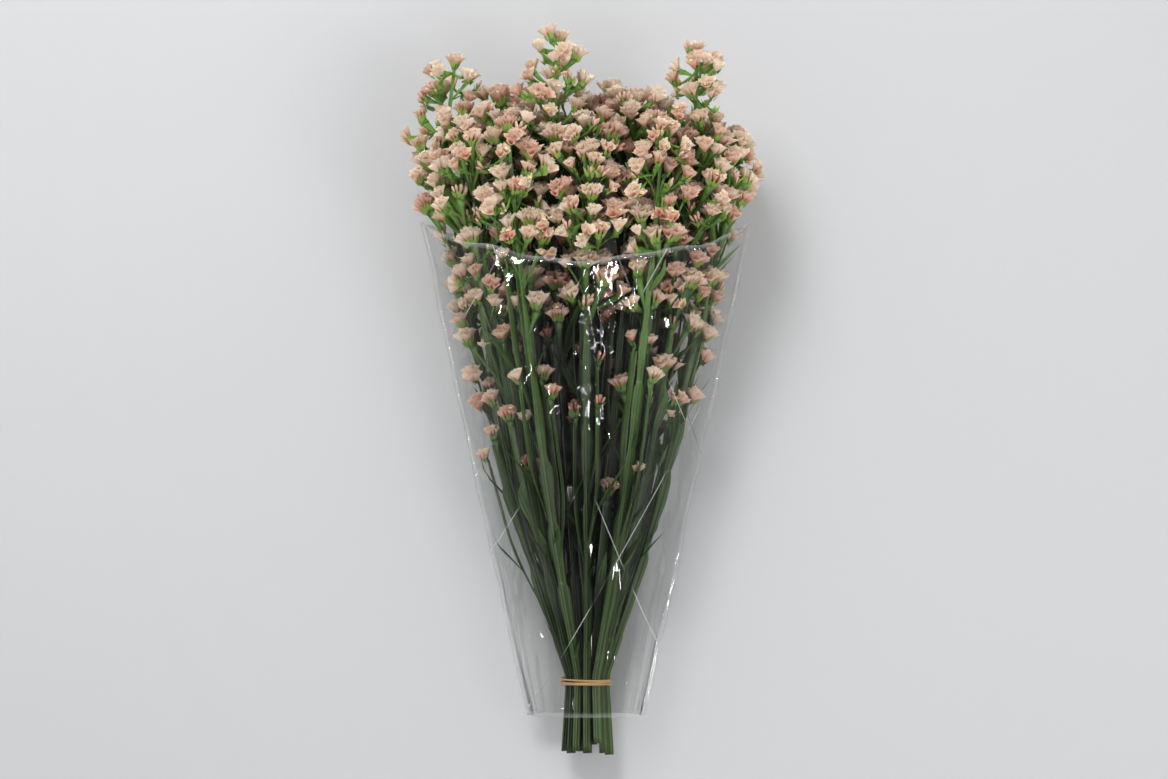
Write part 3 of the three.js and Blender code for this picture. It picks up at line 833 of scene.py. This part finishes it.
def pith_skin(tree, settings):
    """Cut pith: pale, damp and spongy, greener where its cells meet."""
    place = add(tree, "TexCoord").outputs["Object"]
    # Pith cells are drawn at about 0.6 mm, as coarse as they need to show.
    cells = add(tree, "TexVoronoi", {"Vector": place, "Scale": 1700.0})
    walls = add(tree, "Math", {0: cells, 1: 0.6}, operation="MULTIPLY")
    colour = add(tree, "Mix", {0: walls, 6: settings.pith, 7: settings.low}, data_type="RGBA")
    return add(tree, "BsdfPrincipled", {"Base Color": colour, "Roughness": 0.45, "IOR": 1.4})


def film_skin(tree, settings):
    """Cast polypropylene film: clear and glossy, with creases that whiten it and turn it a little; its pale
    crease lines are partly painted highlight.
    """
    place = add(tree, "TexCoord").outputs["Object"]
    normal = add(tree, "NewGeometry").outputs["Normal"]
    part = add(tree, "TexNoise", {"Vector": place, "Scale": 11.0})
    shown = add(tree, "MapRange", {"Value": part, "From Min": 0.48, "From Max": 0.56})
    lines = 0.0
    # Two families of creases run slantwise along the sleeve, 60 to 150 mm apart.
    for across in ((0.93, 0.36, 0.1), (0.87, -0.48, -0.1)):
        way = add(tree, "VectorMath", {0: place, 1: across}, operation="DOT_PRODUCT").outputs["Value"]
        cell, edge = (
            add(tree, "TexVoronoi", {"W": way, "Scale": 10.0}, voronoi_dimensions="1D", feature=feature)
            for feature in ("F1", "DISTANCE_TO_EDGE")
        )
        swing = add(tree, "VectorMath", {0: cell.outputs["Color"], 1: (0.5,) * 3}, operation="SUBTRACT")
        normal = add(tree, "VectorMath", {0: swing, 1: (0.16,) * 3, 2: normal}, operation="MULTIPLY_ADD")
        near = add(tree, "MapRange", {"Value": edge, "From Min": 0.006, "From Max": 0.001})
        seen = add(tree, "Math", {0: near, 1: shown}, operation="MULTIPLY")
        lines = add(tree, "Math", {0: lines, 1: seen}, operation="MAXIMUM")
    faced = add(tree, "VectorMath", {0: normal}, operation="NORMALIZE")
    # The film sags between its creases in waves of 25 by 60 mm, and in places it crumples at 8 by 17 mm.
    broad = add(tree, "Mapping", {"Vector": place, "Rotation": (0, 0, 0.25), "Scale": (40, 16, 40)})
    waves = add(tree, "TexNoise", {"Vector": broad, "Scale": 1.0, "Detail": 0.0})
    narrow = add(tree, "Mapping", {"Vector": place, "Rotation": (0, 0, -0.5), "Scale": (130, 60, 130)})
    crumple = add(tree, "TexNoise", {"Vector": narrow, "Scale": 1.0, "Detail": 0.0})
    patch = add(tree, "MapRange", {"Value": part, "From Min": 0.5, "From Max": 0.38, "To Max": 0.35})
    height = add(tree, "Math", {0: crumple, 1: patch, 2: waves}, operation="MULTIPLY_ADD")
    bump = add(tree, "Bump", {"Height": height, "Strength": 1.0, "Distance": 0.006, "Normal": faced})
    # The pale crease lines are partly whitened film and partly painted highlight where folds catch the light;
    # the weld seams are paler film, and the pale rim line is painted highlight.
    veil = add(tree, "Math", {0: lines, 1: 0.5, 2: 0.002}, operation="MULTIPLY_ADD")
    weld = add(tree, "Attribute", attribute_name="vein").outputs["Fac"]
    pale_lines_and_highlight = add(tree, "Math", {0: weld, 1: 0.5, 2: veil}, operation="MULTIPLY_ADD", use_clamp=True)
    gloss = add(tree, "BsdfGlossy", {"Roughness": 0.04, "Normal": bump})
    haze = add(tree, "BsdfDiffuse", {"Color": settings.film})
    clear = add(tree, "BsdfTransparent", {"Color": CLEAR})
    body = add(tree, "MixShader", {0: pale_lines_and_highlight, 1: clear, 2: haze})
    fresnel = add(tree, "Fresnel", {"IOR": 1.4, "Normal": bump})
    # The outer face gives the shine of the whole wall, and less of it at the edge than a thick sheet does.
    shine = add(tree, "Math", {0: fresnel, 1: 0.2}, operation="MINIMUM")
    return add(tree, "MixShader", {0: shine, 1: body, 2: gloss})


def film_back(tree, _):
    """Inner face of the same film: plain clear, as its outer face gives the shine of both."""
    return add(tree, "BsdfTransparent", {"Color": CLEAR})


def rubber_skin(tree, settings):
    """Natural rubber, cut from a tube: dull with a faint bloom."""
    place = add(tree, "TexCoord").outputs["Object"]
    bloom = add(tree, "TexNoise", {"Vector": place, "Scale": 400.0, "Detail": 3.0})
    dust = add(tree, "Math", {0: bloom, 1: 0.35}, operation="MULTIPLY")
    colour = add(tree, "Mix", {0: dust, 6: settings.rubber, 7: linear("#D8BE93")}, data_type="RGBA")
    return add(tree, "BsdfPrincipled", {"Base Color": colour, "Roughness": 0.62, "IOR": 1.52})


def floor_skin(tree, settings):
    """Matt paper: pale and without shine."""
    return add(tree, "BsdfPrincipled", {"Base Color": settings.floor, "Roughness": 0.9, "IOR": 1.4})


# Green parts.


def wing(turn, reach, core, blade):
    """How far a three-winged stalk stands out at an angle from its middle."""
    off = abs((turn * 3 / math.tau + 0.5) % 1 - 0.5) * math.tau / 3
    return clamp(blade / max(math.sin(off), 0.01), core, reach)


def add_axis(bm, template, stem, blade, draws):
    """A stem's axis from end to end: its wings widen from each knot to the next and end in a lobe."""
    phase, widest = draws.between(0, math.tau), draws.between(6.0, 7.8)
    tall = stem.top - FORK_Y
    knots = [draws.between(78, 110)]
    while knots[-1] < stem.top:
        knots.append(knots[-1] + draws.between(48, 76))

    def lobed(y):
        above = next((i for i, knot in enumerate(knots) if knot > y), len(knots) - 1)
        below = knots[above - 1] if above else knots[0] - 60
        t = clamp((y - below) / (knots[above] - below), 0, 1)
        return mix(0.62, 1.06, min(t * 1.6, 1)) * (1 - 0.42 * clamp((t - 0.9) / 0.1, 0, 1))

    def place(co):
        y = mix(stem.foot, stem.top, co.z)
        up = clamp((y - FORK_Y) / tall, 0, 1)
        loose = clamp((y - BAND_Y - 20) / 50, 0, 1)
        reach = mix(mix(WING_REACH - 0.2, widest * lobed(y), loose), HEAD_TIP_REACH, up**0.55)
        turn = turned(co)
        reach += loose * (1 - up) * 0.5 * math.sin(y / 8 + phase + 5 * turn)
        r = wing(turn, reach, mix(CORE_REACH, 0.9, up), blade)
        turn += 0.3 * loose * math.sin(y / 60 + phase)
        centre = stem.axis(y) if y > FORK_Y else stem.at(y)
        return Vector((centre[0] + r * math.cos(turn), centre[1], centre[2] - r * math.sin(turn)))

    def rises(co):
        y = mix(stem.foot, stem.top, co.z)
        knot = max(math.exp(-(((y - at - 1) / 3) ** 2)) for at in knots)
        edge = 1 - clamp(abs((turned(co) * 3 / math.tau + 0.5) % 1 - 0.5) * 4, 0, 1)
        return mix(edge, 1.4, knot * (1 - 0.8 * edge))

    faces = lay(bm, template, place, draws.between(0.1, 0.7), rises=rises)
    return faces, [y for y in knots if y < stem.top - 30]


def add_ribbon(bm, template, path, flat, wide, tone):
    """A flattened shoot along a path, with a wing on either side and a pale knot at its root."""
    flat = Vector(flat)
    proud = flat.cross(Vector(path(1)) - Vector(path(0))).normalized()

    def place(co):
        turn = turned(co)
        off = wide(co.z) * math.cos(turn)
        thick = 0.3 + 0.7 * math.exp(-off * off)
        return Vector(path(co.z)) + flat * off + proud * (math.sin(turn) * thick)

    lay(bm, template, place, tone, rises=lambda co: 1.8 - 20 * co.z if co.z < 0.05 else 0.5)


def add_fan(bm, template, spike, flare, tone):
    """The green wedge under a comb: as wide as the branch at its foot, and a low arc at its top."""
    half = (spike.cups - 1) / 2 * CUP_STEP + 0.34
    reach = (SEAT_REACH - 1.2) * spike.size

    def place(co):
        t, turn = co.z, turned(co)
        share = math.cos(turn)
        wide = mix(flare * share, math.sin(share * half) * reach, t)
        ahead = mix(math.cos(share * half * t), 1, 0.35) * reach * t
        thick = math.sin(turn) * mix(0.8, 1.3, t)
        return tucked(spike.tip + spike.out * (ahead - 0.2) + spike.comb * wide + spike.side * thick)

    lay(bm, template, place, tone, rises=lambda co: 0.5)


def seat_matrix(base, way, level):
    """A frame with Z along a flower and X across it, set at its base."""
    z = unit(way)
    x = unit(np.cross(level, z))
    y = np.cross(z, x)
    return Matrix([(x[i], y[i], z[i], base[i]) for i in range(3)] + [(0, 0, 0, 1)])


def add_bracts(bm, scale, spike, draws):
    """The pointed scales at the foot of each flower, keels out; a main comb has them on both its faces."""
    for base, way, outer in spike.seats:
        for side in (outer, -outer) if spike.snug == 1 else (outer,):
            hug = spike.side * side
            down, apart = draws.between(3.6, 5.4), draws.between(-1, 1)
            foot = base - way * down + hug * 1.3 + spike.comb * apart
            matrix = seat_matrix(foot, way + hug * 0.16, spike.comb)
            size, wide = draws.between(7.6, 10.6) * spike.size, draws.between(2.9, 4.0) * spike.size

            def place(co, matrix=matrix, size=size, wide=wide, side=side):
                proud = 1.1 * co.y**3 - co.z * wide
                return tucked(matrix @ Vector((-side * proud, co.x * wide, co.y * size)))

            lay(bm, scale, place, draws.one(), 1)


def add_leaf(bm, blade, root, along, aside, length, wide, tone):
    """A narrow stalk leaf that stands off from a knot."""
    matrix = seat_matrix(root, unit(along + aside * 0.35), np.cross(along, aside))

    def place(co):
        curl = 0.12 * co.y * co.y * length
        return tucked(matrix @ Vector((co.z * wide * 0.6 + curl, co.x * wide, co.y * length)))

    lay(bm, blade, place, tone)


class STATICE_OT_stems(bpy.types.Operator):
    """Grow the green of every stem: winged stalk, shoots, branches, wedges, leaves and bracts."""

    bl_idname = "statice.stems"
    bl_label = "Grow Stems"

    def execute(self, context):
        settings = context.scene.statice_stems
        axis, twig = tube_template("axis", 24, 90), tube_template("branch", 6, 5)
        shoot_tube, wedge = tube_template("shoot", 10, 16), tube_template("wedge", 8, 2)
        scale, blade = leaf_template("bract", 3, 0.34, 0.9), leaf_template("stalk leaf", 7, 0.4, 0.75)
        materials = [
            made("Living winged stalk", stem_skin, settings),
            made("Papery green bract", bract_skin, settings),
            made("Cut stalk pith", pith_skin, settings),
        ]
        thick = settings.blade / MM / 2
        draws = Draws(911)
        for stem in planned():
            bm = bmesh.new()
            layers(bm)
            faces, knots = add_axis(bm, axis, stem, thick, draws)
            for face in faces:
                if len(face.verts) > 4 and face.calc_center_median().y < FORK_Y:
                    face.material_index, face.smooth = 2, False
            for y in knots:
                root, turn = stem.axis(y) if y > FORK_Y else stem.at(y), draws.between(0, math.tau)
                aside = point(math.cos(turn), 0, math.sin(turn))
                length, wide, tone = draws.between(14, 34), draws.between(2.6, 4.6), draws.one() * 0.5
                add_leaf(bm, blade, root + aside * 2, point(0, 1, 0), aside, length, wide, tone)
            for shoot in stem.shoots:
                aside = unit(shoot.aside)
                spin = draws.between(-0.7, 0.7)
                flat = unit(point(-aside[2], 0, aside[0]) * math.cos(spin) + aside * math.sin(spin))
                stout, tone = draws.between(2.8, 5.6), draws.between(0, 0.6)
                add_ribbon(bm, shoot_tube, shoot.at, flat, lambda t: mix(1.3, stout, min(t * 3, 1)), tone)
                root, along = shoot.at(0.3), unit(shoot.at(0.4) - shoot.at(0.3))
                length, wide, tone = draws.between(30, 80), draws.between(6, 12), draws.one() * 0.6
                add_leaf(bm, blade, root, along, aside, length, wide, tone)
            for spike in stem.spikes:
                tone = draws.between(0.2, 0.9)
                flare = draws.between(3.8, 5.2) * spike.size
                root, tip = Vector(spike.root), Vector(spike.tip)
                bow = Vector(spike.side) * ((tip - root).length * draws.between(-0.05, 0.05))

                def bowed(t):
                    return root.lerp(tip, t) + bow * math.sin(math.pi * t)

                add_ribbon(bm, twig, bowed, spike.comb, lambda t: mix(1.0, flare, t**1.8), tone)
                add_fan(bm, wedge, spike, flare, tone)
                along = unit(spike.tip - spike.root)
                if spike.snug == 1:
                    turn = draws.between(0, math.tau)
                    aside = spike.comb * math.cos(turn) + spike.side * math.sin(turn)
                    low = spike.root[1] < LIP_FRONT_Y
                    length, wide = (draws.between(20, 44), 6) if low else (draws.between(9, 20), 3)
                    add_leaf(bm, blade, spike.root, along, aside, length, wide, tone * 0.6)
                else:
                    add_leaf(bm, scale, spike.root, along, spike.side, draws.between(6, 10), 1.6, 0)
                add_bracts(bm, scale, spike, draws)
            name = f"{stem.index + 1:02d}"
            finish_piece(bm, f"stem_{name}", materials, "stem_green", f"stalk_{name}", f"head_{name}")
        return {"FINISHED"}


class STATICE_OT_flowers(bpy.types.Operator):
    """Set the papery flowers on every comb."""

    bl_idname = "statice.flowers"
    bl_label = "Set Flowers"

    def execute(self, context):
        settings = context.scene.statice_flowers
        draws = Draws(4177)
        full, plain, rough = (
            [calyx_template(f"{kind} calyx {i}", pleats, draws.between(0.88, 1.12), draws) for i in range(8)]
            for kind, pleats in (("main", 10), ("small", 7), ("shaded", 5))
        )
        bud, petal = bud_template("bud"), petal_template("petal")
        materials = [
            made("Papery statice calyx", calyx_paper, settings),
            made("Soft cream petal", petal_skin, settings),
        ]
        width, height = settings.width / MM, settings.height / MM
        for stem in planned():
            bm = bmesh.new()
            layers(bm)
            for spike in stem.spikes:
                calyces = rough if spike.depth > PLEAT_DEPTH else full if spike.snug == 1 else plain
                for base, way, _ in spike.seats:
                    matrix = seat_matrix(base, way, spike.comb)
                    tall = height * spike.size * draws.between(0.88, 1.12)
                    wide = width * spike.size * draws.between(0.9, 1.15)
                    tone = spike.mood * 0.8 + draws.between(0, 0.2)
                    folded = draws.between(0.42, 0.75)
                    pick, bloom, spin = draws.one(), draws.one(), draws.between(-0.5, 0.5)
                    if pick < (0.55 if spike.young else 0.06):
                        shape = matrix @ Matrix.Diagonal((wide * 0.8, wide * 0.8, tall * 0.9, 1))
                        lay(bm, bud, lambda co: tucked(shape @ co), tone * 0.5)
                    elif not spike.young:
                        size = Matrix.Diagonal((wide, wide * folded, tall, 1))
                        shape = matrix @ Matrix.Rotation(spin, 4, "Z") @ size
                        lay(bm, calyces[int(pick * 7.99)], lambda co: tucked(shape @ co), tone)
                        if bloom < settings.open_share:
                            size = Matrix.Diagonal((2.5, 2.2, 2.2, 1))
                            shape = matrix @ Matrix.Translation((0, 0, 0.86 * tall)) @ size
                            lay(bm, petal, lambda co: tucked(shape @ co), tone, 1)
            name = f"{stem.index + 1:02d}"
            finish_piece(bm, f"flowers_{name}", materials, "flower_peach", f"head_{name}")
        return {"FINISHED"}


class STATICE_OT_sleeve(bpy.types.Operator):
    """Draw the clear film sleeve with its folds, welded side seams and lip."""

    bl_idname = "statice.sleeve"
    bl_label = "Draw Sleeve"

    def execute(self, context):
        settings = context.scene.statice_wrap
        template = tube_template("film", 192, 84, capped=False)
        fold, seam = settings.fold / MM, settings.seam / MM
        bm = bmesh.new()
        _, vein, _, _ = layers(bm)

        def around(co):
            """The rows of points lie closer together at the two side seams."""
            turn = turned(co)
            return turn - 0.36 * math.sin(2 * turn)

        def place(co):
            turn, t = around(co), co.z
            c, s = math.cos(turn), math.sin(turn)
            lip = lip_y(s) + 2.0 * math.sin(6 * turn + 1) + 1.1 * math.sin(15 * turn)
            y = mix(SLEEVE_FOOT_Y, lip, t)
            half, rise = sleeve_half(y), sleeve_rise(y)
            where = Vector((c * half + 0.3 * y, y * 0.35, s * rise))
            big = noise.noise(where / 34)
            small = noise.noise(where / 13 + Vector((9, 4, 2)))
            stand = fold * (0.42 - abs(big) * 1.6) * (0.6 + 0.4 * t) + 0.8 * (0.2 - abs(small))
            gather = (1 - t) ** 3 * 1.3 * math.sin(22 * turn + 3 * math.sin(2 * turn))
            stand = max(stand + gather, -1.0)
            weld = seam * math.exp(-((s * rise / SEAM_HALF) ** 2))
            return Vector(((half + stand + weld) * c, y, max(sleeve_z(y) + (rise + stand) * s, 0.3)))

        lay(bm, template, place, 0)
        bm.verts.ensure_lookup_table()
        # The welded seams are paler film; the pale line along both rims is painted highlight where the cut
        # edge catches the light.
        for v, origin in zip(bm.verts, template.vertices):
            weld = math.exp(-((math.sin(around(origin.co)) * 90 / SEAM_PALE) ** 2))
            rim = 1 if origin.co.z > 0.995 or origin.co.z < 0.005 else 0
            v[vein] = max(weld * 0.35, rim * 0.5)
        bmesh.ops.reverse_faces(bm, faces=bm.faces)
        materials = [
            made("Clear polypropylene film", film_skin, settings),
            made("Clear polypropylene film, inner face", film_back, settings),
        ]
        piece = finish_piece(bm, "film_sleeve", materials, "clear_film", "sleeve")
        wall = piece.modifiers.new("Film thickness", "SOLIDIFY")
        wall.thickness, wall.offset, wall.material_offset = settings.wall, -1, 1
        return {"FINISHED"}


class STATICE_OT_band(bpy.types.Operator):
    """Wind the rubber band round the stalks."""

    bl_idname = "statice.band"
    bl_label = "Wind Band"

    def execute(self, context):
        settings = context.scene.statice_wrap
        template = tube_template("turn", 96, 6, capped=False)
        inner = BAND_PITCH * 2 + WING_REACH + 0.15
        bm = bmesh.new()
        layers(bm)
        for i in range(settings.turns):
            middle = BAND_Y + (i - (settings.turns - 1) / 2) * TURN_STEP

            def place(co, middle=middle, i=i):
                turn, round_ = turned(co), co.z * math.tau
                y = middle + 0.7 * math.sin(turn + i * 2.1) + TURN_WIDE * math.sin(round_)
                r = inner + TURN_OUT + TURN_THICK * math.cos(round_) + 0.28 * math.sin(2 * turn + i * 1.7)
                return Vector((r * math.cos(turn), y, BAND_AXIS_Z + r * math.sin(turn)))

            lay(bm, template, place, 0)
        bmesh.ops.remove_doubles(bm, verts=bm.verts, dist=0.001)
        bmesh.ops.recalc_face_normals(bm, faces=bm.faces)
        rubber = made("Natural rubber band", rubber_skin, settings)
        finish_piece(bm, "rubber_band", [rubber], "rubber_band", "band")
        return {"FINISHED"}


class STATICE_OT_stage(bpy.types.Operator):
    """Set the floor, the softboxes and the camera that looks down."""

    bl_idname = "statice.stage"
    bl_label = "Set Stage"

    def execute(self, context):
        settings = context.scene.statice_stage
        scene = context.scene
        bm = bmesh.new()
        bmesh.ops.create_grid(bm, x_segments=1, y_segments=1, size=FLOOR_HALF)
        mesh = kept_mesh(bm, "floor")
        mesh.materials.append(made("Pale matt paper", floor_skin, settings))
        floor = bpy.data.objects.new("floor", mesh)
        scene.collection.objects.link(floor)
        world = bpy.data.worlds.new("Studio")
        scene.world = world
        world.use_nodes = True
        sky = world.node_tree
        sky.nodes.clear()
        # The room is bright low down and dark overhead, so clear film seen from above stays clear.
        way = add(sky, "TexCoord").outputs["Generated"]
        up = add(sky, "SeparateXYZ", {0: way}).outputs["Z"]
        span = {"From Min": 0.3, "From Max": 0.85, "To Min": settings.sky, "To Max": settings.sky * 0.05}
        glow = add(sky, "MapRange", {"Value": up, **span})
        air = add(sky, "Background", {"Color": (1, 1, 1, 1), "Strength": glow})
        add(sky, "OutputWorld", {"Surface": air})
        weak = settings.key * 0.4
        for name, at, size, power in (
            ("ceiling", (0, 0, 3), (9, 9), settings.key * 1.85),
            ("key", (-0.7, 1.5, 1.9), (0.9, 0.9), settings.key),
            ("fill", (1.3, -0.5, 1.9), (0.7, 1.2), weak),
            ("spark_right", (0.45, 0.85, 2.3), (0.08, 0.8), weak),
            ("spark_left", (-0.75, 0.1, 2.3), (0.8, 0.08), weak),
            ("spark_low", (0.15, -0.8, 2.3), (0.08, 0.8), weak),
            ("spark_far_left", (-1.5, -0.5, 1.8), (0.08, 0.8), weak),
            ("spark_far_right", (1.4, -0.1, 1.9), (0.8, 0.08), weak),
        ):
            light = bpy.data.lights.new(name, "AREA")
            light.shape, light.size, light.size_y, light.energy = "RECTANGLE", size[0], size[1], power
            lamp = bpy.data.objects.new(name, light)
            lamp.location = at
            lamp.rotation_euler = Vector(at).to_track_quat("Z", "Y").to_euler()
            # Clear film mirrors only the narrow lights, as short glints, and these light nothing else.
            lamp.visible_diffuse = not name.startswith("spark")
            lamp.visible_glossy = name.startswith("spark")
            scene.collection.objects.link(lamp)
        camera = bpy.data.cameras.new("camera")
        camera.lens, camera.clip_end = 85, 50
        eye = bpy.data.objects.new("camera", camera)
        tilt = math.radians(TILT)
        away = Vector((0, -math.sin(tilt), math.cos(tilt))) * settings.distance
        eye.location = away + Vector((0, 0.008, 0.06))
        eye.rotation_euler = (tilt, 0, 0)
        scene.collection.objects.link(eye)
        scene.camera = eye
        scene.view_settings.view_transform = "Standard"
        return {"FINISHED"}


class STATICE_PT_panel(bpy.types.Panel):
    """The steps that dress the bunch."""

    bl_label = "Statice Bunch"
    bl_idname = "STATICE_PT_panel"
    bl_space_type = "VIEW_3D"
    bl_region_type = "UI"
    bl_category = "Statice"

    def draw(self, context):
        for operator in STEPS:
            self.layout.operator(operator.bl_idname)
        for group in GROUPS:
            box = self.layout.box()
            for key in GROUPS[group].__annotations__:
                box.prop(getattr(context.scene, group), key)


GROUPS = {
    "statice_stems": StemSettings,
    "statice_flowers": FlowerSettings,
    "statice_wrap": WrapSettings,
    "statice_stage": StageSettings,
}
STEPS = (STATICE_OT_stems, STATICE_OT_flowers, STATICE_OT_sleeve, STATICE_OT_band, STATICE_OT_stage)


def register():
    for cls in (*GROUPS.values(), *STEPS, STATICE_PT_panel):
        bpy.utils.register_class(cls)
    for name, cls in GROUPS.items():
        setattr(bpy.types.Scene, name, bpy.props.PointerProperty(type=cls))


def unregister():
    for name in GROUPS:
        delattr(bpy.types.Scene, name)
    for cls in reversed((*GROUPS.values(), *STEPS, STATICE_PT_panel)):
        bpy.utils.unregister_class(cls)


def main():
    register()
    stems, placed = plan_bunch()
    add_shoots(stems, placed, Draws(5501))
    add_companions(stems, placed, Draws(7307))
    seat_flowers(stems, Draws(3301))
    PLAN.extend(stems)
    bpy.ops.statice.stems()
    bpy.ops.statice.flowers()
    bpy.ops.statice.sleeve()
    bpy.ops.statice.band()
    bpy.ops.statice.stage()


if __name__ == "__main__":
    main()
